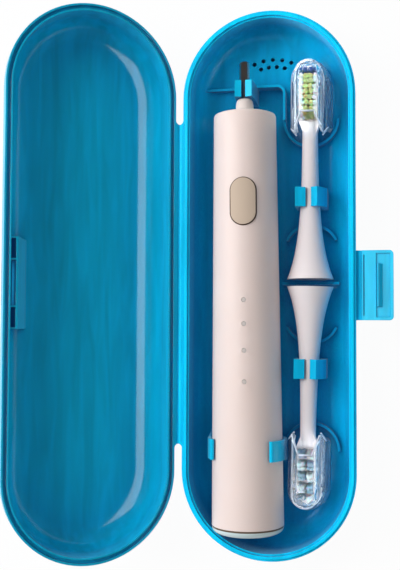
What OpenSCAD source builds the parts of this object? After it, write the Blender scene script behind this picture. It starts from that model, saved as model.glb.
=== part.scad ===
// Travel case for an electric toothbrush: two round-ended halves on a fold line, a snap latch,
// moulded clips, a sonic brush handle, and two brush heads under clear caps.
// +Y runs towards the drive shaft, +X towards the latch, and the origin is the middle of the base's underside.

/* [Case] */
// Length of each half over its round ends
case_l = 215; // [212:1:230]
// Width of each half across its rim
case_w = 68; // [67:0.5:74]
// Height of the base up to the parting face
base_h = 18.5; // [17.5:0.5:24]
// Height of the lid from the parting face to its top
lid_h = 18.5; // [16.5:0.5:24]
// Thickness of the side walls
wall_t = 2; // [1.6:0.1:2.2]
// Thickness of the base's floor and of the lid's top
floor_t = 2; // [1.6:0.1:2.4]
// Outside radius of the rounded edge at the floor
edge_r = 11.2; // [8:0.2:12]
// How far the rim's lip stands out from the side wall
lip_out = 0.8; // [0.5:0.1:1.2]
// Height of the rim's lip
lip_h = 3; // [2:0.25:4]

/* [Rim joint] */
// Distance of the base's tongue from the outside of the rim
tongue_inset = 0.9; // [0.7:0.05:1.0]
// Width of the tongue
tongue_w = 1.1; // [0.8:0.05:1.2]
// Height of the tongue above the parting face
tongue_h = 0.8; // [0.5:0.05:0.9]
// Clearance between the tongue and the lid's groove
tongue_gap = 0.12; // [0.05:0.01:0.2]

/* [Lid hinge] */
// Distance of the fold line outside the rim
fold_out = 1.5; // [1.3:0.1:2.5]
// Length of the fold
fold_l = 127.2; // [100:0.4:134]
// Radius of the fold's bead
fold_r = 0.6; // [0.4:0.05:0.8]
// Thickness of the flanges beside the fold
flange_t = 1.2; // [0.8:0.1:2]
// Angle by which the open lid stands short of flat
lid_tilt = 35; // [0:1:60]

/* [Latch] */
// Place of the latch's middle along the case
latch_y = -1.2; // [-20:0.2:20]
// Width of the latch flap
latch_w = 26.8; // [24:0.2:30]
// Length of the flap from its fold line to its tip
latch_l = 12.4; // [11:0.2:15]
// Thickness of the flap
latch_t = 1.6; // [1.2:0.1:2]
// Distance of the flap's fold line outside the rim
latch_out = 1.65; // [1.5:0.05:2.5]
// Depth of the flap's fold line under the parting face
latch_drop = 2; // [1.6:0.1:3]
// Distance from the fold line to the near side of the hook
hook_at = 5.9; // [5.4:0.1:7]
// Width of the hook at its root
hook_w = 2.3; // [1.5:0.1:2.6]
// Height of the hook above the flap
hook_h = 1.4; // [0.8:0.1:1.6]
// Length of the hook
hook_l = 16.4; // [12:0.2:18]
// Thickness of the two webs that divide the catch's pocket
web_t = 0.6; // [0.5:0.1:1.2]
// Length of each space beside the catch's middle one
side_window_l = 7.5; // [4:0.1:8]
// Height of the window that the hook enters
window_h = 3.6; // [3:0.2:4]
// Width of the pocket between the lid's side and the wall behind the catch
pocket_w = 2; // [1.6:0.1:2.4]
// Clearance of the closed flap from the lid
latch_gap = 0.4; // [0.2:0.05:0.6]

/* [Ribs and vents] */
// Thickness of the ribs on the floor
rib_t = 1; // [0.8:0.1:1.5]
// Height of the arc ribs above the floor
arc_h = 4; // [2:0.25:4.5]
// Radius of the arc ribs
arc_r = 10.8; // [10.6:0.1:11.2]
// Distance of the arc ribs' centres beyond the skirts' bases, by the brush skirts
skirt_arc_at = 11.4; // [10:0.1:12]
// Distance of the arc ribs' centres beyond the skirts' bases, by the caps
cap_arc_at = 64.8; // [64.2:0.1:65.4]
// Half of the angle that a skirt's arc rib spans
skirt_arc_half = 65; // [40:1:80]
// Height of the divider between the two skirts
divider_h = 7.5; // [4:0.5:9]
// Length of the divider
divider_l = 22.4; // [12:0.2:26]
// Height of the cross rib above the floor
cross_h = 5; // [3:0.5:6]
// Diameter of each vent hole
vent_d = 1.7; // [1:0.1:2.5]
// Radius of the outer row of vents about the end's centre
vent_r = 19.2; // [17:0.2:21]
// Distance between the two rows of vents
vent_row = 3; // [2.6:0.1:3.6]
// Angle between neighbouring vents
vent_pitch = 11.7; // [10:0.1:12]

/* [Handle] */
// Place of the handle's axis across the case, at the case's middle
handle_x = -8.8; // [-9.5:0.1:-8]
// Distance of the handle's foot from the end of the case
foot_gap = 10.4; // [10.4:0.1:13]
// Length of the handle's body from foot to shoulder
body_l = 163.7; // [158.1:0.1:164]
// Radius of the body at its shoulder
shoulder_r = 12.3; // [12:0.1:12.8]
// Radius of the body at its foot
foot_r = 14.1; // [13.6:0.1:14.4]
// Angle of the handle to the length of the case
handle_slant = 0.54; // [0:0.02:0.8]
// Angle by which the handle lies rolled towards the latch
handle_roll = 4.5; // [0:0.5:10]
// Thickness of the handle's wall
shell_t = 1.5; // [1.2:0.1:1.6]
// Clearance under whatever lies on the floor
rest_gap = 0.3; // [0.2:0.05:0.5]
// Radius of the shaft seal where it leaves the body
nose_r = 3.5; // [3.2:0.1:4]
// Length of the shaft seal outside the body
nose_l = 6.3; // [4:0.1:7]
// Radius of the drive shaft
shaft_r = 2.05; // [1.8:0.05:2.2]
// Length of the drive shaft outside the body
shaft_out = 21.2; // [20:0.2:24]
// Thickness of the foot cap's visible disc
cap_t = 2.5; // [2.4:0.1:3]
// Length of the foot cap's rounded edge
cap_edge = 2.4; // [1:0.1:2.4]
// How far the foot cap's rounded edge is drawn in
cap_in = 4; // [1:0.2:5]
// Thickness of the gasket between the body and the foot cap
gasket_t = 0.7; // [0.3:0.05:0.8]

/* [Button and board] */
// Width of the power button
button_w = 9.6; // [8:0.2:10]
// Length of the power button
button_l = 17.9; // [14:0.1:20]
// Distance of the button's middle from the shoulder
button_at = 35.9; // [30:0.1:40]
// How far the button stands above the body
button_up = 0.8; // [0.3:0.1:1]
// How far the button travels when pressed
button_travel = 0.6; // [0.3:0.05:0.6]
// Clearance round the button
button_gap = 0.15; // [0.1:0.01:0.25]
// Distances of the indicator lights from the shoulder
light_at = [73.6, 82.7, 92.8, 104.6];
// Radius of each indicator light
light_r = 0.75; // [0.5:0.05:1]
// Height of the circuit board's underside above the handle's axis
board_z = 6.3; // [6.2:0.05:6.5]
// Thickness of the circuit board
board_t = 0.9; // [0.6:0.05:1]

/* [Drive] */
// Radius of the motor
motor_r = 6; // [5:0.1:6]
// Length of the motor
motor_l = 38; // [30:0.5:42]
// Radius of the battery cell
cell_r = 7; // [6:0.1:7.1]
// Length of the battery cell
cell_l = 50; // [40:0.5:52]
// Clearance between the inner frame and the handle's wall
frame_gap = 0.25; // [0.1:0.05:0.3]
// Length of the charging coil
coil_l = 8; // [6:0.2:12]
// Radius of the coil's ferrite core
core_r = 5.7; // [4:0.1:7]

/* [Brush heads] */
// Place of the upper head's axis across the case
head_x = 16; // [15.6:0.1:16.6]
// Gap between the bases of the two heads
head_gap = 3; // [2.4:0.1:4]
// Radius of a head's skirt at its base
skirt_r = 9.1; // [8.4:0.1:9.2]
// Radius of a head's neck
neck_r = 2.9; // [2.6:0.1:3.2]
// Length over which the skirt narrows to about a third
flare_k = 15.5; // [13:0.5:16]
// Distance from the skirt's base to the start of the bristle plate
neck_l = 60; // [59:0.5:61]
// Distance from the skirt's base to the tip of the bristle plate
head_l = 85.4; // [84:0.2:86]
// Width of the bristle plate
plate_w = 11; // [9:0.2:12]
// Thickness of the bristle plate
plate_t = 4.4; // [3.5:0.1:5]
// Wall of the skirt
skirt_t = 1.1; // [0.9:0.1:1.4]
// Depth of the open skirt
skirt_depth = 14; // [10:0.5:16]
// Depth of the shaft socket beyond the open skirt
socket_l = 18; // [12:0.5:20]
// Angle of the lower head to the length of the case
lower_slant = 0.98; // [0:0.02:1.2]

/* [Bristles] */
// Length of the bristles above the plate
bristle_l = 9; // [7:0.25:9.2]
// Thickness of the slice of backing under the bristles
backing_t = 0.8; // [0.5:0.1:1.2]
// Largest number of rows of tufts along the head
tuft_rows = 9; // [6:1:10]
// Number of tufts in each row
tuft_cols = 4; // [3:1:4]
// Distance from the last row of tufts to the plate's tip
tip_free = 4.2; // [3.8:0.1:6]
// Distance between the rows
row_pitch = 2.15; // [2:0.05:2.2]
// Distance between the tufts of a row
col_pitch = 1.85; // [1.8:0.05:1.9]
// Distance of a tuft's outer strands from its middle
tuft_spread = 0.5; // [0.45:0.01:0.52]
// Radius of one strand
strand_r = 0.2; // [0.15:0.01:0.22]

/* [Head caps] */
// Width of a cap across its lower part
cover_w = 17; // [16:0.2:17.4]
// Width of a cap's raised part over the bristles
cover_top_w = 10.6; // [10:0.2:11]
// Distance from the skirt's base to the tip of the cap
cover_end = 87.9; // [87.2:0.1:88.4]
// Distance from the skirt's base to the points of the cap's mouth
cover_start = 56.8; // [56.6:0.1:58]
// Height of a cap's lower edge above the floor
cover_lift = 1.2; // [1:0.1:1.6]
// How much each side of a cap leans in up to its shoulder
cover_draft = 1.2; // [0.8:0.1:1.4]
// Height of the shoulder between the two widths above the floor
cover_shoulder = 12.8; // [12.6:0.1:13.4]
// Wall of the cap
cover_t = 0.9; // [0.7:0.1:1.1]

/* [Clips] */
// Length of each neck clip
neck_clip_l = 7.6; // [5:0.2:10]
// Distance of the neck clips from the skirts' bases
neck_clip_at = 32.1; // [29:0.1:36]
// Length of the shaft clip
shaft_clip_l = 6.6; // [5:0.2:7]
// Clearance between the shaft clip and the shaft seal
shaft_clip_gap = 0.4; // [0.3:0.05:0.8]
// Length of the handle clip
handle_clip_l = 7.8; // [5:0.2:12]
// Distance of the handle clip's middle from the handle's foot
handle_clip_at = 32.7; // [28:0.1:40]
// Distance of the shaft clip's tips from the shaft's middle
shaft_clip_mouth = 0.8; // [0.6:0.1:1.2]
// Distance of the shaft clip's left side from the shaft's middle
shaft_clip_left = 3.6; // [3.4:0.1:4.2]
// Distance of the shaft clip's right side from the shaft's middle
shaft_clip_right = 3.8; // [3.4:0.1:4.2]
// Height of the shaft clip's crests above the shaft
shaft_clip_up = 2.3; // [1.8:0.1:3]
// Distance of a neck clip's left tip from the neck's middle
neck_left_mouth = 1.4; // [1:0.1:1.6]
// Distance of a neck clip's right tip from the neck's middle
neck_right_mouth = 0.7; // [0.5:0.1:1.4]
// Distance of a neck clip's left side from the neck's middle
neck_clip_left = 5.7; // [5.4:0.1:6.4]
// Distance of a neck clip's right side from the neck's middle
neck_clip_right = 6.7; // [5.4:0.1:7]
// Distance of a neck clip's right crest from the neck's middle
neck_right_crest = 3.2; // [2.6:0.1:4]
// Height of a neck clip's crests above the neck
neck_clip_up = 2.8; // [2:0.1:3.2]
// How much a neck clip's tips lie lower than its crests
neck_clip_drop = 2; // [1:0.1:2.4]
// How much the shaft clip's tips lie lower than its crests
shaft_clip_drop = 0.7; // [0.4:0.1:1.4]
// How much a clip's crest lies inside its outer face
crest_in = 0.3; // [0.2:0.05:0.6]
// Thickness of the floor bridge under a clip's slit
bridge_t = 3; // [2:0.2:4]
// Width of the slit between a clip's arms
slit_w = 1.2; // [0.8:0.1:1.6]
// Thickness of the handle clip's arms
arm_t = 1.4; // [1.2:0.1:1.5]
// Angle above the handle's middle at which the left arm ends
left_wrap = 34; // [20:1:45]
// Angle above the handle's middle at which the right arm ends
right_wrap = 44; // [20:1:50]
// Clearance between a clip and what it holds
clip_gap = 0.3; // [0.2:0.05:0.4]

/* [Hidden] */
$fn = 64;
end_r = case_w / 2;
end_y = case_l / 2 - end_r;
out_r = end_r - lip_out;
in_r = out_r - wall_t;
fold_x = -end_r - fold_out;
fold_gap = 0.05;
latch_x = end_r + latch_out;
latch_z = base_h - latch_drop;
latch_face = latch_out - latch_gap;
latch_root = 0.55;
latch_bead_r = 0.45;
window_at = hook_at - latch_drop + 0.1;
middle_window_l = hook_l + 0.6;
catch_half = middle_window_l / 2 + web_t + side_window_l;
foot_y = -case_l / 2 + foot_gap;
top_y = foot_y + body_l;
body_y = foot_y + cap_t + gasket_t;
handle_z = floor_t + rest_gap + foot_r;
button_y = top_y - button_at;
nose_tip_y = top_y + nose_l;
shaft_tip_y = top_y + shaft_out;
front_t = 1.6;
head_z = floor_t + rest_gap + skirt_r;
plate_top = plate_t * 0.45;
plate_end_r = plate_w / 2;
field_at = neck_l + 3.6;
rows = min(tuft_rows, floor((head_l - tip_free - field_at - 0.2) / row_pitch) + 1);
cover_r = cover_w / 2;
cover_top_r = cover_top_w / 2;
cover_y = cover_end - cover_r;
cover_base_z = floor_t + cover_lift - head_z;
cover_mid_z = floor_t + cover_shoulder - head_z;
cover_top_z = plate_top + bristle_l + cover_t + 0.8;
shaft_clip_y = nose_tip_y + shaft_clip_gap + shaft_clip_l / 2;
handle_clip_y = foot_y + handle_clip_at;
clip_inner = shoulder_r + (handle_clip_y - handle_clip_l / 2 - top_y) * (shoulder_r - foot_r) / body_l + clip_gap;
motor_y = top_y - 14.6;
bearing_r = 4;
bearing_l = 4;
bearing_gap = 0.07;
frame_front = motor_y + 0.6;
coil_face = foot_y + cap_t + 0.3;
spigot_l = 4.6;
seat_gap = 0.3;
body_slope = (shoulder_r - foot_r) / body_l;
case_blue = "#1AA5CF";
deep_blue = "#0C86B8";
white_abs = "#EFE6DF";

// Radius of the handle's body at a place along it
function body_r(y) = shoulder_r + (y - top_y) * body_slope;
// Radius of a head's skirt and neck at a distance from its base
function stem_r(d) = neck_r + (skirt_r - neck_r) * exp(-d / flare_k);

// Half of a tray's section: flat floor, rounded edge and straight side
module tray_half(r, h, edge) {
  square([r - edge, h]);
  translate([0, edge]) square([r, h - edge]);
  intersection() {
    translate([r - edge, edge]) circle(edge);
    square([r, edge]);
  }
}

// A solid with round ends whose section is the half section given as its child, on both sides
module round_ended(y) {
  rotate([90, 0, 0]) linear_extrude(2 * y, center = true) {
    children();
    mirror([1, 0]) children();
  }
  for (side = [0, 1])
    mirror([0, side, 0]) translate([0, y, 0]) rotate_extrude(angle = 180) children();
}

// A flat stadium of one radius, standing on z
module stadium(r, z, h) {
  translate([0, 0, z]) linear_extrude(h) {
    square([2 * r, 2 * end_y], center = true);
    for (side = [-1, 1]) translate([0, side * end_y]) circle(r);
  }
}

module stadium_ring(r_out, r_in, z, h) {
  difference() {
    stadium(r_out, z, h);
    stadium(r_in, z - 1, h + 2);
  }
}

// The hollow of either half, from its floor to above its rim
module tray_hollow(h) {
  translate([0, 0, floor_t]) round_ended(end_y) tray_half(in_r, h - floor_t + 2, edge_r - wall_t);
}

// The outside of either half, with the lip round its rim
module tray_outside(h) {
  round_ended(end_y) tray_half(out_r, h, edge_r);
  stadium(end_r, h - lip_h, lip_h);
}

// A flange beside the lid's fold line, under the parting face
module fold_flange() {
  edge = fold_x + fold_r + fold_gap;
  translate([edge, -fold_l / 2, base_h - flange_t]) cube([lip_out - end_r - edge + 0.2, fold_l, flange_t]);
  // the rounded end of the slot between the two rims
  for (side = [0, 1])
    mirror([0, side, 0]) translate([0, fold_l / 2, base_h - flange_t]) linear_extrude(flange_t) difference() {
      translate([edge, -0.2]) square([0.2 - end_r - edge, fold_out + 0.2]);
      translate([fold_x, fold_out]) circle(fold_out);
    }
}

module vents() {
  for (i = [-2:2]) vent(vent_r, i * vent_pitch);
  for (i = [-1.5:1.5]) vent(vent_r - vent_row, i * vent_pitch);
}

module vent(r, angle) {
  translate([0, end_y, 0]) rotate([0, 0, angle]) translate([0, r, -1])
    cylinder(h = floor_t + 2, d = vent_d);
}

module base_shell() {
  color(case_blue) difference() {
    union() {
      tray_outside(base_h);
      fold_flange();
      // bracket that carries the latch's fold line
      translate([out_r - 0.2, latch_y - latch_w / 2, latch_z - latch_t / 2])
        cube([latch_out + lip_out + 0.2 - latch_root, latch_w, latch_t / 2 + 0.35]);
      // tongue, low enough for the lid to swing shut over it beside the fold
      stadium_ring(end_r - tongue_inset, end_r - tongue_inset - tongue_w, base_h - 0.5, tongue_h + 0.5);
    }
    tray_hollow(base_h);
    vents();
  }
}

// Everything that stands on the floor and doesn't bend, cut to the floor's rounded edge
module support_ribs() {
  color(deep_blue) intersection() {
    union() {
      for (end = [1, -1]) {
        arc_rib(end * (head_gap / 2 + skirt_arc_at), end > 0 ? 90 : 270, skirt_arc_half);
        arc_rib(end * (head_gap / 2 + cap_arc_at), end > 0 ? 270 : 90, 90);
      }
      translate([head_x - divider_l / 2, -rib_t / 2, 0]) cube([divider_l, rib_t, floor_t + divider_h]);
      cross_rib();
    }
    tray_hollow(base_h);
  }
}

module arc_rib(y, middle, half) {
  translate([head_x, y, 0]) rotate([0, 0, middle - half]) rotate_extrude(angle = 2 * half)
    translate([arc_r - rib_t / 2, 0]) square([rib_t, floor_t + arc_h]);
}

// The rib beside the shaft clip, which turns a corner and runs down to the upper cap's arc
module cross_rib() {
  corner = 3;
  y = shaft_clip_y + shaft_clip_l / 2 + 0.6;
  x = head_x - arc_r;
  low = head_gap / 2 + cap_arc_at;
  left_end = handle_x - 5;
  translate([-end_r, y - rib_t / 2, 0]) cube([end_r + left_end, rib_t, floor_t + cross_h - 2.4]);
  translate([handle_x + 2.8, y - rib_t / 2, 0])
    cube([x - corner - handle_x - 2.8, rib_t, floor_t + cross_h]);
  translate([x - corner, y - corner, 0]) rotate_extrude(angle = 90)
    translate([corner - rib_t / 2, 0]) square([rib_t, floor_t + cross_h]);
  translate([x - rib_t / 2, low, 0]) cube([rib_t, y - corner - low, floor_t + cross_h]);
}

// One arm of a snap clip, drawn across the case: a post whose hook leans over what it holds.
// The tip, ridge and outside are distances from the middle, on the side that side gives.
module clip_arm(side, tip, ridge, outside, tip_z, ridge_z, foot_z) {
  mirror([side < 0 ? 1 : 0, 0]) polygon([[tip, foot_z], [outside, foot_z], [outside, 0.5], [ridge, ridge_z],
    [tip, tip_z], [tip, 0]]);
}

// A pair of arms round a bar of the given radius, along the case
module snap_clip(r, l, left, right, tip_z, ridge_z, axis_z) {
  rotate([90, 0, 0]) linear_extrude(l, center = true) difference() {
    union() {
      clip_arm(-1, left[0], left[1], left[2], tip_z, ridge_z, floor_t - axis_z);
      clip_arm(1, right[0], right[1], right[2], tip_z, ridge_z, floor_t - axis_z);
    }
    circle(r + clip_gap);
    // the arms bend apart from here down
    translate([-slit_w / 2, floor_t - axis_z + bridge_t]) square([slit_w, axis_z]);
  }
}

module shaft_clip() {
  y = shaft_clip_y;
  color(case_blue) translate([handle_x - y * sin(handle_slant), y, handle_z])
    snap_clip(shaft_r, shaft_clip_l, [shaft_clip_mouth, shaft_clip_left - crest_in, shaft_clip_left],
      [shaft_clip_mouth, shaft_clip_right - crest_in, shaft_clip_right],
      shaft_r + shaft_clip_up - shaft_clip_drop, shaft_r + shaft_clip_up, handle_z);
}

module neck_clip(head) {
  r = stem_r(neck_clip_at - neck_clip_l / 2);
  place_head(head) translate([0, neck_clip_at, 0]) rotate([0, 0, head > 0 ? 0 : 180])
    snap_clip(r, neck_clip_l, [neck_left_mouth, neck_clip_left - crest_in, neck_clip_left],
      [neck_right_mouth, neck_right_crest, neck_clip_right], r + neck_clip_up - neck_clip_drop,
      r + neck_clip_up, head_z);
}

module upper_neck_clip() {
  color(case_blue) neck_clip(1);
}

module lower_neck_clip() {
  color(case_blue) neck_clip(-1);
}

// One arm of the handle clip: a post beside the handle that curves over it
module handle_arm(side, wrap) {
  r = clip_inner;
  mirror([side < 0 ? 1 : 0, 0]) {
    difference() {
      circle(r + arm_t);
      circle(r);
      rotate(wrap) translate([-2 * r, 0]) square([4 * r, 2 * r]);
      rotate(wrap) translate([-2 * r, -2 * r]) square([2 * r, 4 * r]);
      // the left arm stands straight; the right one curves up from the floor, clear of the lower cap
      if (side < 0) translate([-2 * r, -2 * r]) square([4 * r, 2 * r]);
    }
    if (side < 0) translate([r, floor_t - handle_z]) square([arm_t, handle_z - floor_t]);
    rotate(wrap) translate([r + arm_t / 2 + 0.1, 0]) circle(arm_t / 2 + 0.1);
  }
}

module handle_clip() {
  y = handle_clip_y;
  x = handle_x - y * sin(handle_slant);
  color(case_blue) intersection() {
    union() {
      translate([x, y, handle_z]) rotate([90, 0, 0]) linear_extrude(handle_clip_l, center = true) {
        handle_arm(-1, left_wrap);
        handle_arm(1, right_wrap);
      }
      // fin that stiffens the left arm
      translate([x - clip_inner - arm_t, y + handle_clip_l / 2, 0]) rotate([90, 0, 90]) linear_extrude(1)
        polygon([[-1, 0], [3.6, 0], [3.6, 5], [0, handle_z], [-1, handle_z]]);
    }
    tray_hollow(base_h + 20);
  }
}

// The bead on the fold line between the two flanges
module living_hinge() {
  color(deep_blue) translate([fold_x, fold_l / 2, base_h]) rotate([90, 0, 0]) cylinder(h = fold_l, r = fold_r);
}

// The lid where it closes, upside down over the base
module lid_closed() {
  difference() {
    union() {
      translate([0, 0, base_h + lid_h]) mirror([0, 0, 1]) tray_outside(lid_h);
      translate([0, 0, 2 * base_h]) mirror([0, 0, 1]) fold_flange();
    }
    difference() {
      translate([0, 0, base_h + lid_h]) mirror([0, 0, 1]) tray_hollow(lid_h);
      catch_wall();
    }
    stadium_ring(end_r - tongue_inset + tongue_gap, end_r - tongue_inset - tongue_w - tongue_gap,
      base_h - 1, tongue_h + 0.2 + 1);
    // the window that the hook enters from outside
    translate([in_r - 0.5, latch_y - middle_window_l / 2, base_h + window_at])
      cube([wall_t + lip_out + 1, middle_window_l, window_h]);
  }
}

// The sloping wall behind the catch, with a pocket between it and the lid's side that two webs divide
module catch_wall() {
  l = 2 * catch_half + 2 * web_t;
  low = in_r - edge_r + wall_t;
  difference() {
    translate([0, latch_y + l / 2, base_h]) rotate([90, 0, 0]) linear_extrude(l)
      polygon([[in_r + 0.5, 0.9], [in_r - pocket_w - 0.9, 0.9], [low, lid_h - floor_t], [low, lid_h - floor_t + 0.5],
        [in_r + 0.5, lid_h - floor_t + 0.5]]);
    catch_cut(in_r - pocket_w, base_h, pocket_w, lid_h - floor_t - 3.2);
  }
}

// The three spaces between the ends of the catch and its webs
module catch_cut(x, z, depth, h) {
  y = latch_y - middle_window_l / 2;
  for (w = [[y, middle_window_l], [y - web_t - side_window_l, side_window_l],
      [y + middle_window_l + web_t, side_window_l]])
    translate([x, w[0], z]) cube([depth, w[1], h]);
}

module lid_shell() {
  color(case_blue) translate([fold_x, 0, base_h]) rotate([0, lid_tilt - 180, 0])
    translate([-fold_x, 0, -base_h]) lid_closed();
}

module latch_hinge() {
  color(deep_blue) translate([latch_x, latch_y + latch_w / 2, latch_z]) rotate([90, 0, 0])
    cylinder(h = latch_w, r = latch_bead_r);
}

// The flap lying open: its inner face, with the hook, looks up
module latch_flap() {
  top = latch_face;
  corner = 1.6;
  grip = 0.5;
  color(case_blue) translate([latch_x, latch_y, latch_z]) {
    difference() {
      translate([0, 0, top - latch_t]) linear_extrude(latch_t) union() {
        translate([latch_root, -latch_w / 2]) square([latch_l - latch_root - corner, latch_w]);
        translate([latch_root, corner - latch_w / 2]) square([latch_l - latch_root, latch_w - 2 * corner]);
        for (side = [-1, 1])
          translate([latch_l - corner, side * (latch_w / 2 - corner)]) circle(corner);
      }
      // groove beside the fold line
      translate([latch_root + 0.5, 1.8 - latch_w / 2, top - 0.5]) cube([0.5, latch_w - 3.6, 1]);
      // sunk field inside the border, beyond the hook's step
      translate([hook_at, 1.2 - latch_w / 2, top - 0.5]) cube([latch_l - hook_at - 1.3, latch_w - 2.4, 1]);
    }
    // hook: steep where it holds, with a ramp down to the sunk field on the tip's side
    rotate([90, 0, 0]) linear_extrude(hook_l, center = true)
      polygon([[hook_at, top - 0.7], [hook_at + hook_w, top - 0.7], [hook_at + hook_w, top - 0.4],
        [hook_at + 0.8, top + hook_h], [hook_at + 0.5, top + hook_h]]);
    // finger lip under the tip
    translate([latch_l - 1.4, 2 - latch_w / 2, top - latch_t - grip]) cube([1, latch_w - 4, grip + 0.2]);
  }
}

module in_handle() {
  translate([handle_x, 0, handle_z]) rotate([0, 0, handle_slant]) rotate([0, handle_roll, 0]) children();
}

// A solid turned about the handle's axis from a half section in [radius, place along the axis]
module turned() {
  rotate([-90, 0, 0]) mirror([0, 1, 0]) rotate_extrude() children();
}

module button_outline(grow) {
  w = button_w + 2 * grow;
  l = button_l + 2 * grow;
  square([w, l - w], center = true);
  for (side = [-1, 1]) translate([0, side * (l - w) / 2]) circle(w / 2);
}

module handle_housing() {
  edge = 1;
  color(white_abs) in_handle() difference() {
    turned() polygon([[0, body_y], [body_r(body_y), body_y], [body_r(top_y - edge), top_y - edge],
      [shoulder_r - edge * 0.3, top_y - edge * 0.3], [shoulder_r - edge, top_y], [0, top_y]]);
    turned() polygon([[0, body_y - 1], [body_r(body_y) - shell_t, body_y - 1],
      [shoulder_r - shell_t, top_y - front_t], [0, top_y - front_t]]);
    turned() translate([0, top_y - 5]) square([nose_r + 0.1, 10]);
    translate([0, button_y, 0]) linear_extrude(foot_r + 2) button_outline(button_gap);
    for (at = light_at) translate([0, top_y - at, 0]) cylinder(h = foot_r + 2, r = light_r + 0.1);
  }
}

module nose_seal() {
  flange_r = nose_r + 1.4;
  dome = nose_l * 0.5;
  bore = shaft_r + 0.25;
  color(white_abs) in_handle() turned() polygon(concat(
    [[bore, top_y - front_t - 1.3], [flange_r, top_y - front_t - 1.3], [flange_r, top_y - front_t - 0.1],
      [nose_r, top_y - front_t - 0.1]],
    [for (a = [0:10:90]) [bore + (nose_r - bore) * cos(a), nose_tip_y - dome * (1 - sin(a))]]));
}

module foot_cap() {
  r = body_r(foot_y) - 0.1;
  bore = body_r(body_y) - shell_t;
  color("#C9DAD9") in_handle() turned() {
    polygon(concat([[0, foot_y]],
      [for (a = [-90:10:0]) [r - cap_in + cap_in * cos(a), foot_y + cap_edge * (1 + sin(a))]],
      [[r, foot_y + cap_t], [0, foot_y + cap_t]]));
    translate([bore - 1.4, foot_y + cap_t - 0.2]) square([1.25, spigot_l]);
  }
}

module foot_gasket() {
  r = body_r(body_y) - 0.25;
  color("#B7A48C") in_handle() turned()
    translate([r - shell_t + 0.4, foot_y + cap_t]) square([shell_t - 0.4, gasket_t]);
}

// The moulded cradle inside the handle: a channel for the motor and the cell, and a front wall
module inner_frame() {
  cell_y = motor_y - motor_l - 4;
  back = cell_y - cell_l - 4;
  front = frame_front + bearing_l;
  step = motor_y - motor_l - 2;
  color("#5B6166") in_handle() difference() {
    intersection() {
      turned() polygon([[0, back], [frame_r(back), back], [frame_r(front), front], [0, front]]);
      union() {
        translate([-foot_r, back, -foot_r]) cube([2 * foot_r, frame_front - back, foot_r + board_z - seat_gap]);
        translate([-foot_r, frame_front, -foot_r]) cube([2 * foot_r, bearing_l, 2 * foot_r]);
      }
    }
    channel(back - 1, step, cell_r + seat_gap, -2.4);
    channel(step - 1, frame_front, motor_r + seat_gap, 0);
    turned() translate([0, frame_front - 1]) square([bearing_r, bearing_l + 2]);
  }
}

function frame_r(y) = body_r(y) - shell_t - frame_gap;

// A round-bottomed channel, open upwards
module channel(from, to, r, z) {
  translate([0, to, 0]) rotate([90, 0, 0]) linear_extrude(to - from) {
    translate([0, z]) circle(r);
    translate([-r, z]) square([2 * r, foot_r * 2]);
  }
}

module drive_motor() {
  color("#B9BCBE") in_handle() turned() translate([0, motor_y - motor_l]) square([motor_r, motor_l]);
}

module shaft_bearing() {
  color("#C8A45A") in_handle() turned() translate([shaft_r + bearing_gap, frame_front])
    square([bearing_r - shaft_r - bearing_gap, bearing_l]);
}

module battery_cell() {
  y = motor_y - motor_l - 4;
  color("#2F7D4F") in_handle() translate([0, 0, -2.4]) turned() {
    translate([0, y - cell_l]) square([cell_r, cell_l]);
    translate([0, y - 0.2]) square([2.4, 1.4]);
  }
}

module control_board() {
  front = button_y + 12;
  back = top_y - light_at[3] - 6;
  half = sqrt(pow(shoulder_r - shell_t - 0.3, 2) - pow(board_z + board_t, 2)) - 0.3;
  color("#1F6B45") in_handle() translate([-half, back, board_z]) cube([2 * half, front - back, board_t]);
}

module tact_switch() {
  color("#2A2C2E") in_handle() translate([0, button_y, board_z + board_t]) {
    translate([-3, -3, 0]) cube([6, 6, 0.9]);
    cylinder(h = 1.2, r = 1.6);
  }
}

module button_membrane() {
  color("#8C8F92") in_handle() translate([0, button_y, board_z + board_t + 1.35])
    linear_extrude(0.7) button_outline(0.7);
}

module indicator_lights() {
  color("#F7F4EE") in_handle() for (at = light_at)
    translate([0, top_y - at, board_z + board_t + seat_gap])
      cylinder(h = body_r(top_y - at) - board_z - board_t - seat_gap, r = light_r);
}

module charging_coil() {
  color("#B4683A") in_handle() turned()
    translate([core_r + seat_gap, coil_face]) square([body_r(body_y) - shell_t - 1.7 - core_r - seat_gap, coil_l]);
}

module coil_core() {
  color("#3B3D40") in_handle() turned() translate([0, coil_face]) square([core_r, coil_l + 6]);
}

module power_button() {
  low = board_z + board_t + 2.05 + button_travel + 0.1;
  color("#CBB9A8") in_handle() intersection() {
    translate([0, button_y, low]) linear_extrude(foot_r) button_outline(0);
    turned() translate([0, button_y - button_l]) square([body_r(button_y) + button_up, 2 * button_l]);
  }
}

module drive_shaft() {
  flat = shaft_r * 0.78;
  color("#4A4643") in_handle() difference() {
    turned() polygon([[0, motor_y + 0.3], [shaft_r, motor_y + 0.3], [shaft_r, shaft_tip_y - 0.4],
      [shaft_r - 0.4, shaft_tip_y], [0, shaft_tip_y]]);
    translate([-5, shaft_clip_y + shaft_clip_l / 2, flat]) cube([10, 20, 5]);
  }
}

// Head 1 is the upper one and head -1 the lower, each drawn along +Y from its skirt's base
module place_head(head) {
  translate([head_x, head * head_gap / 2, head_z]) rotate([0, 0, head > 0 ? 0 : 180 - lower_slant]) children();
}

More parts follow.
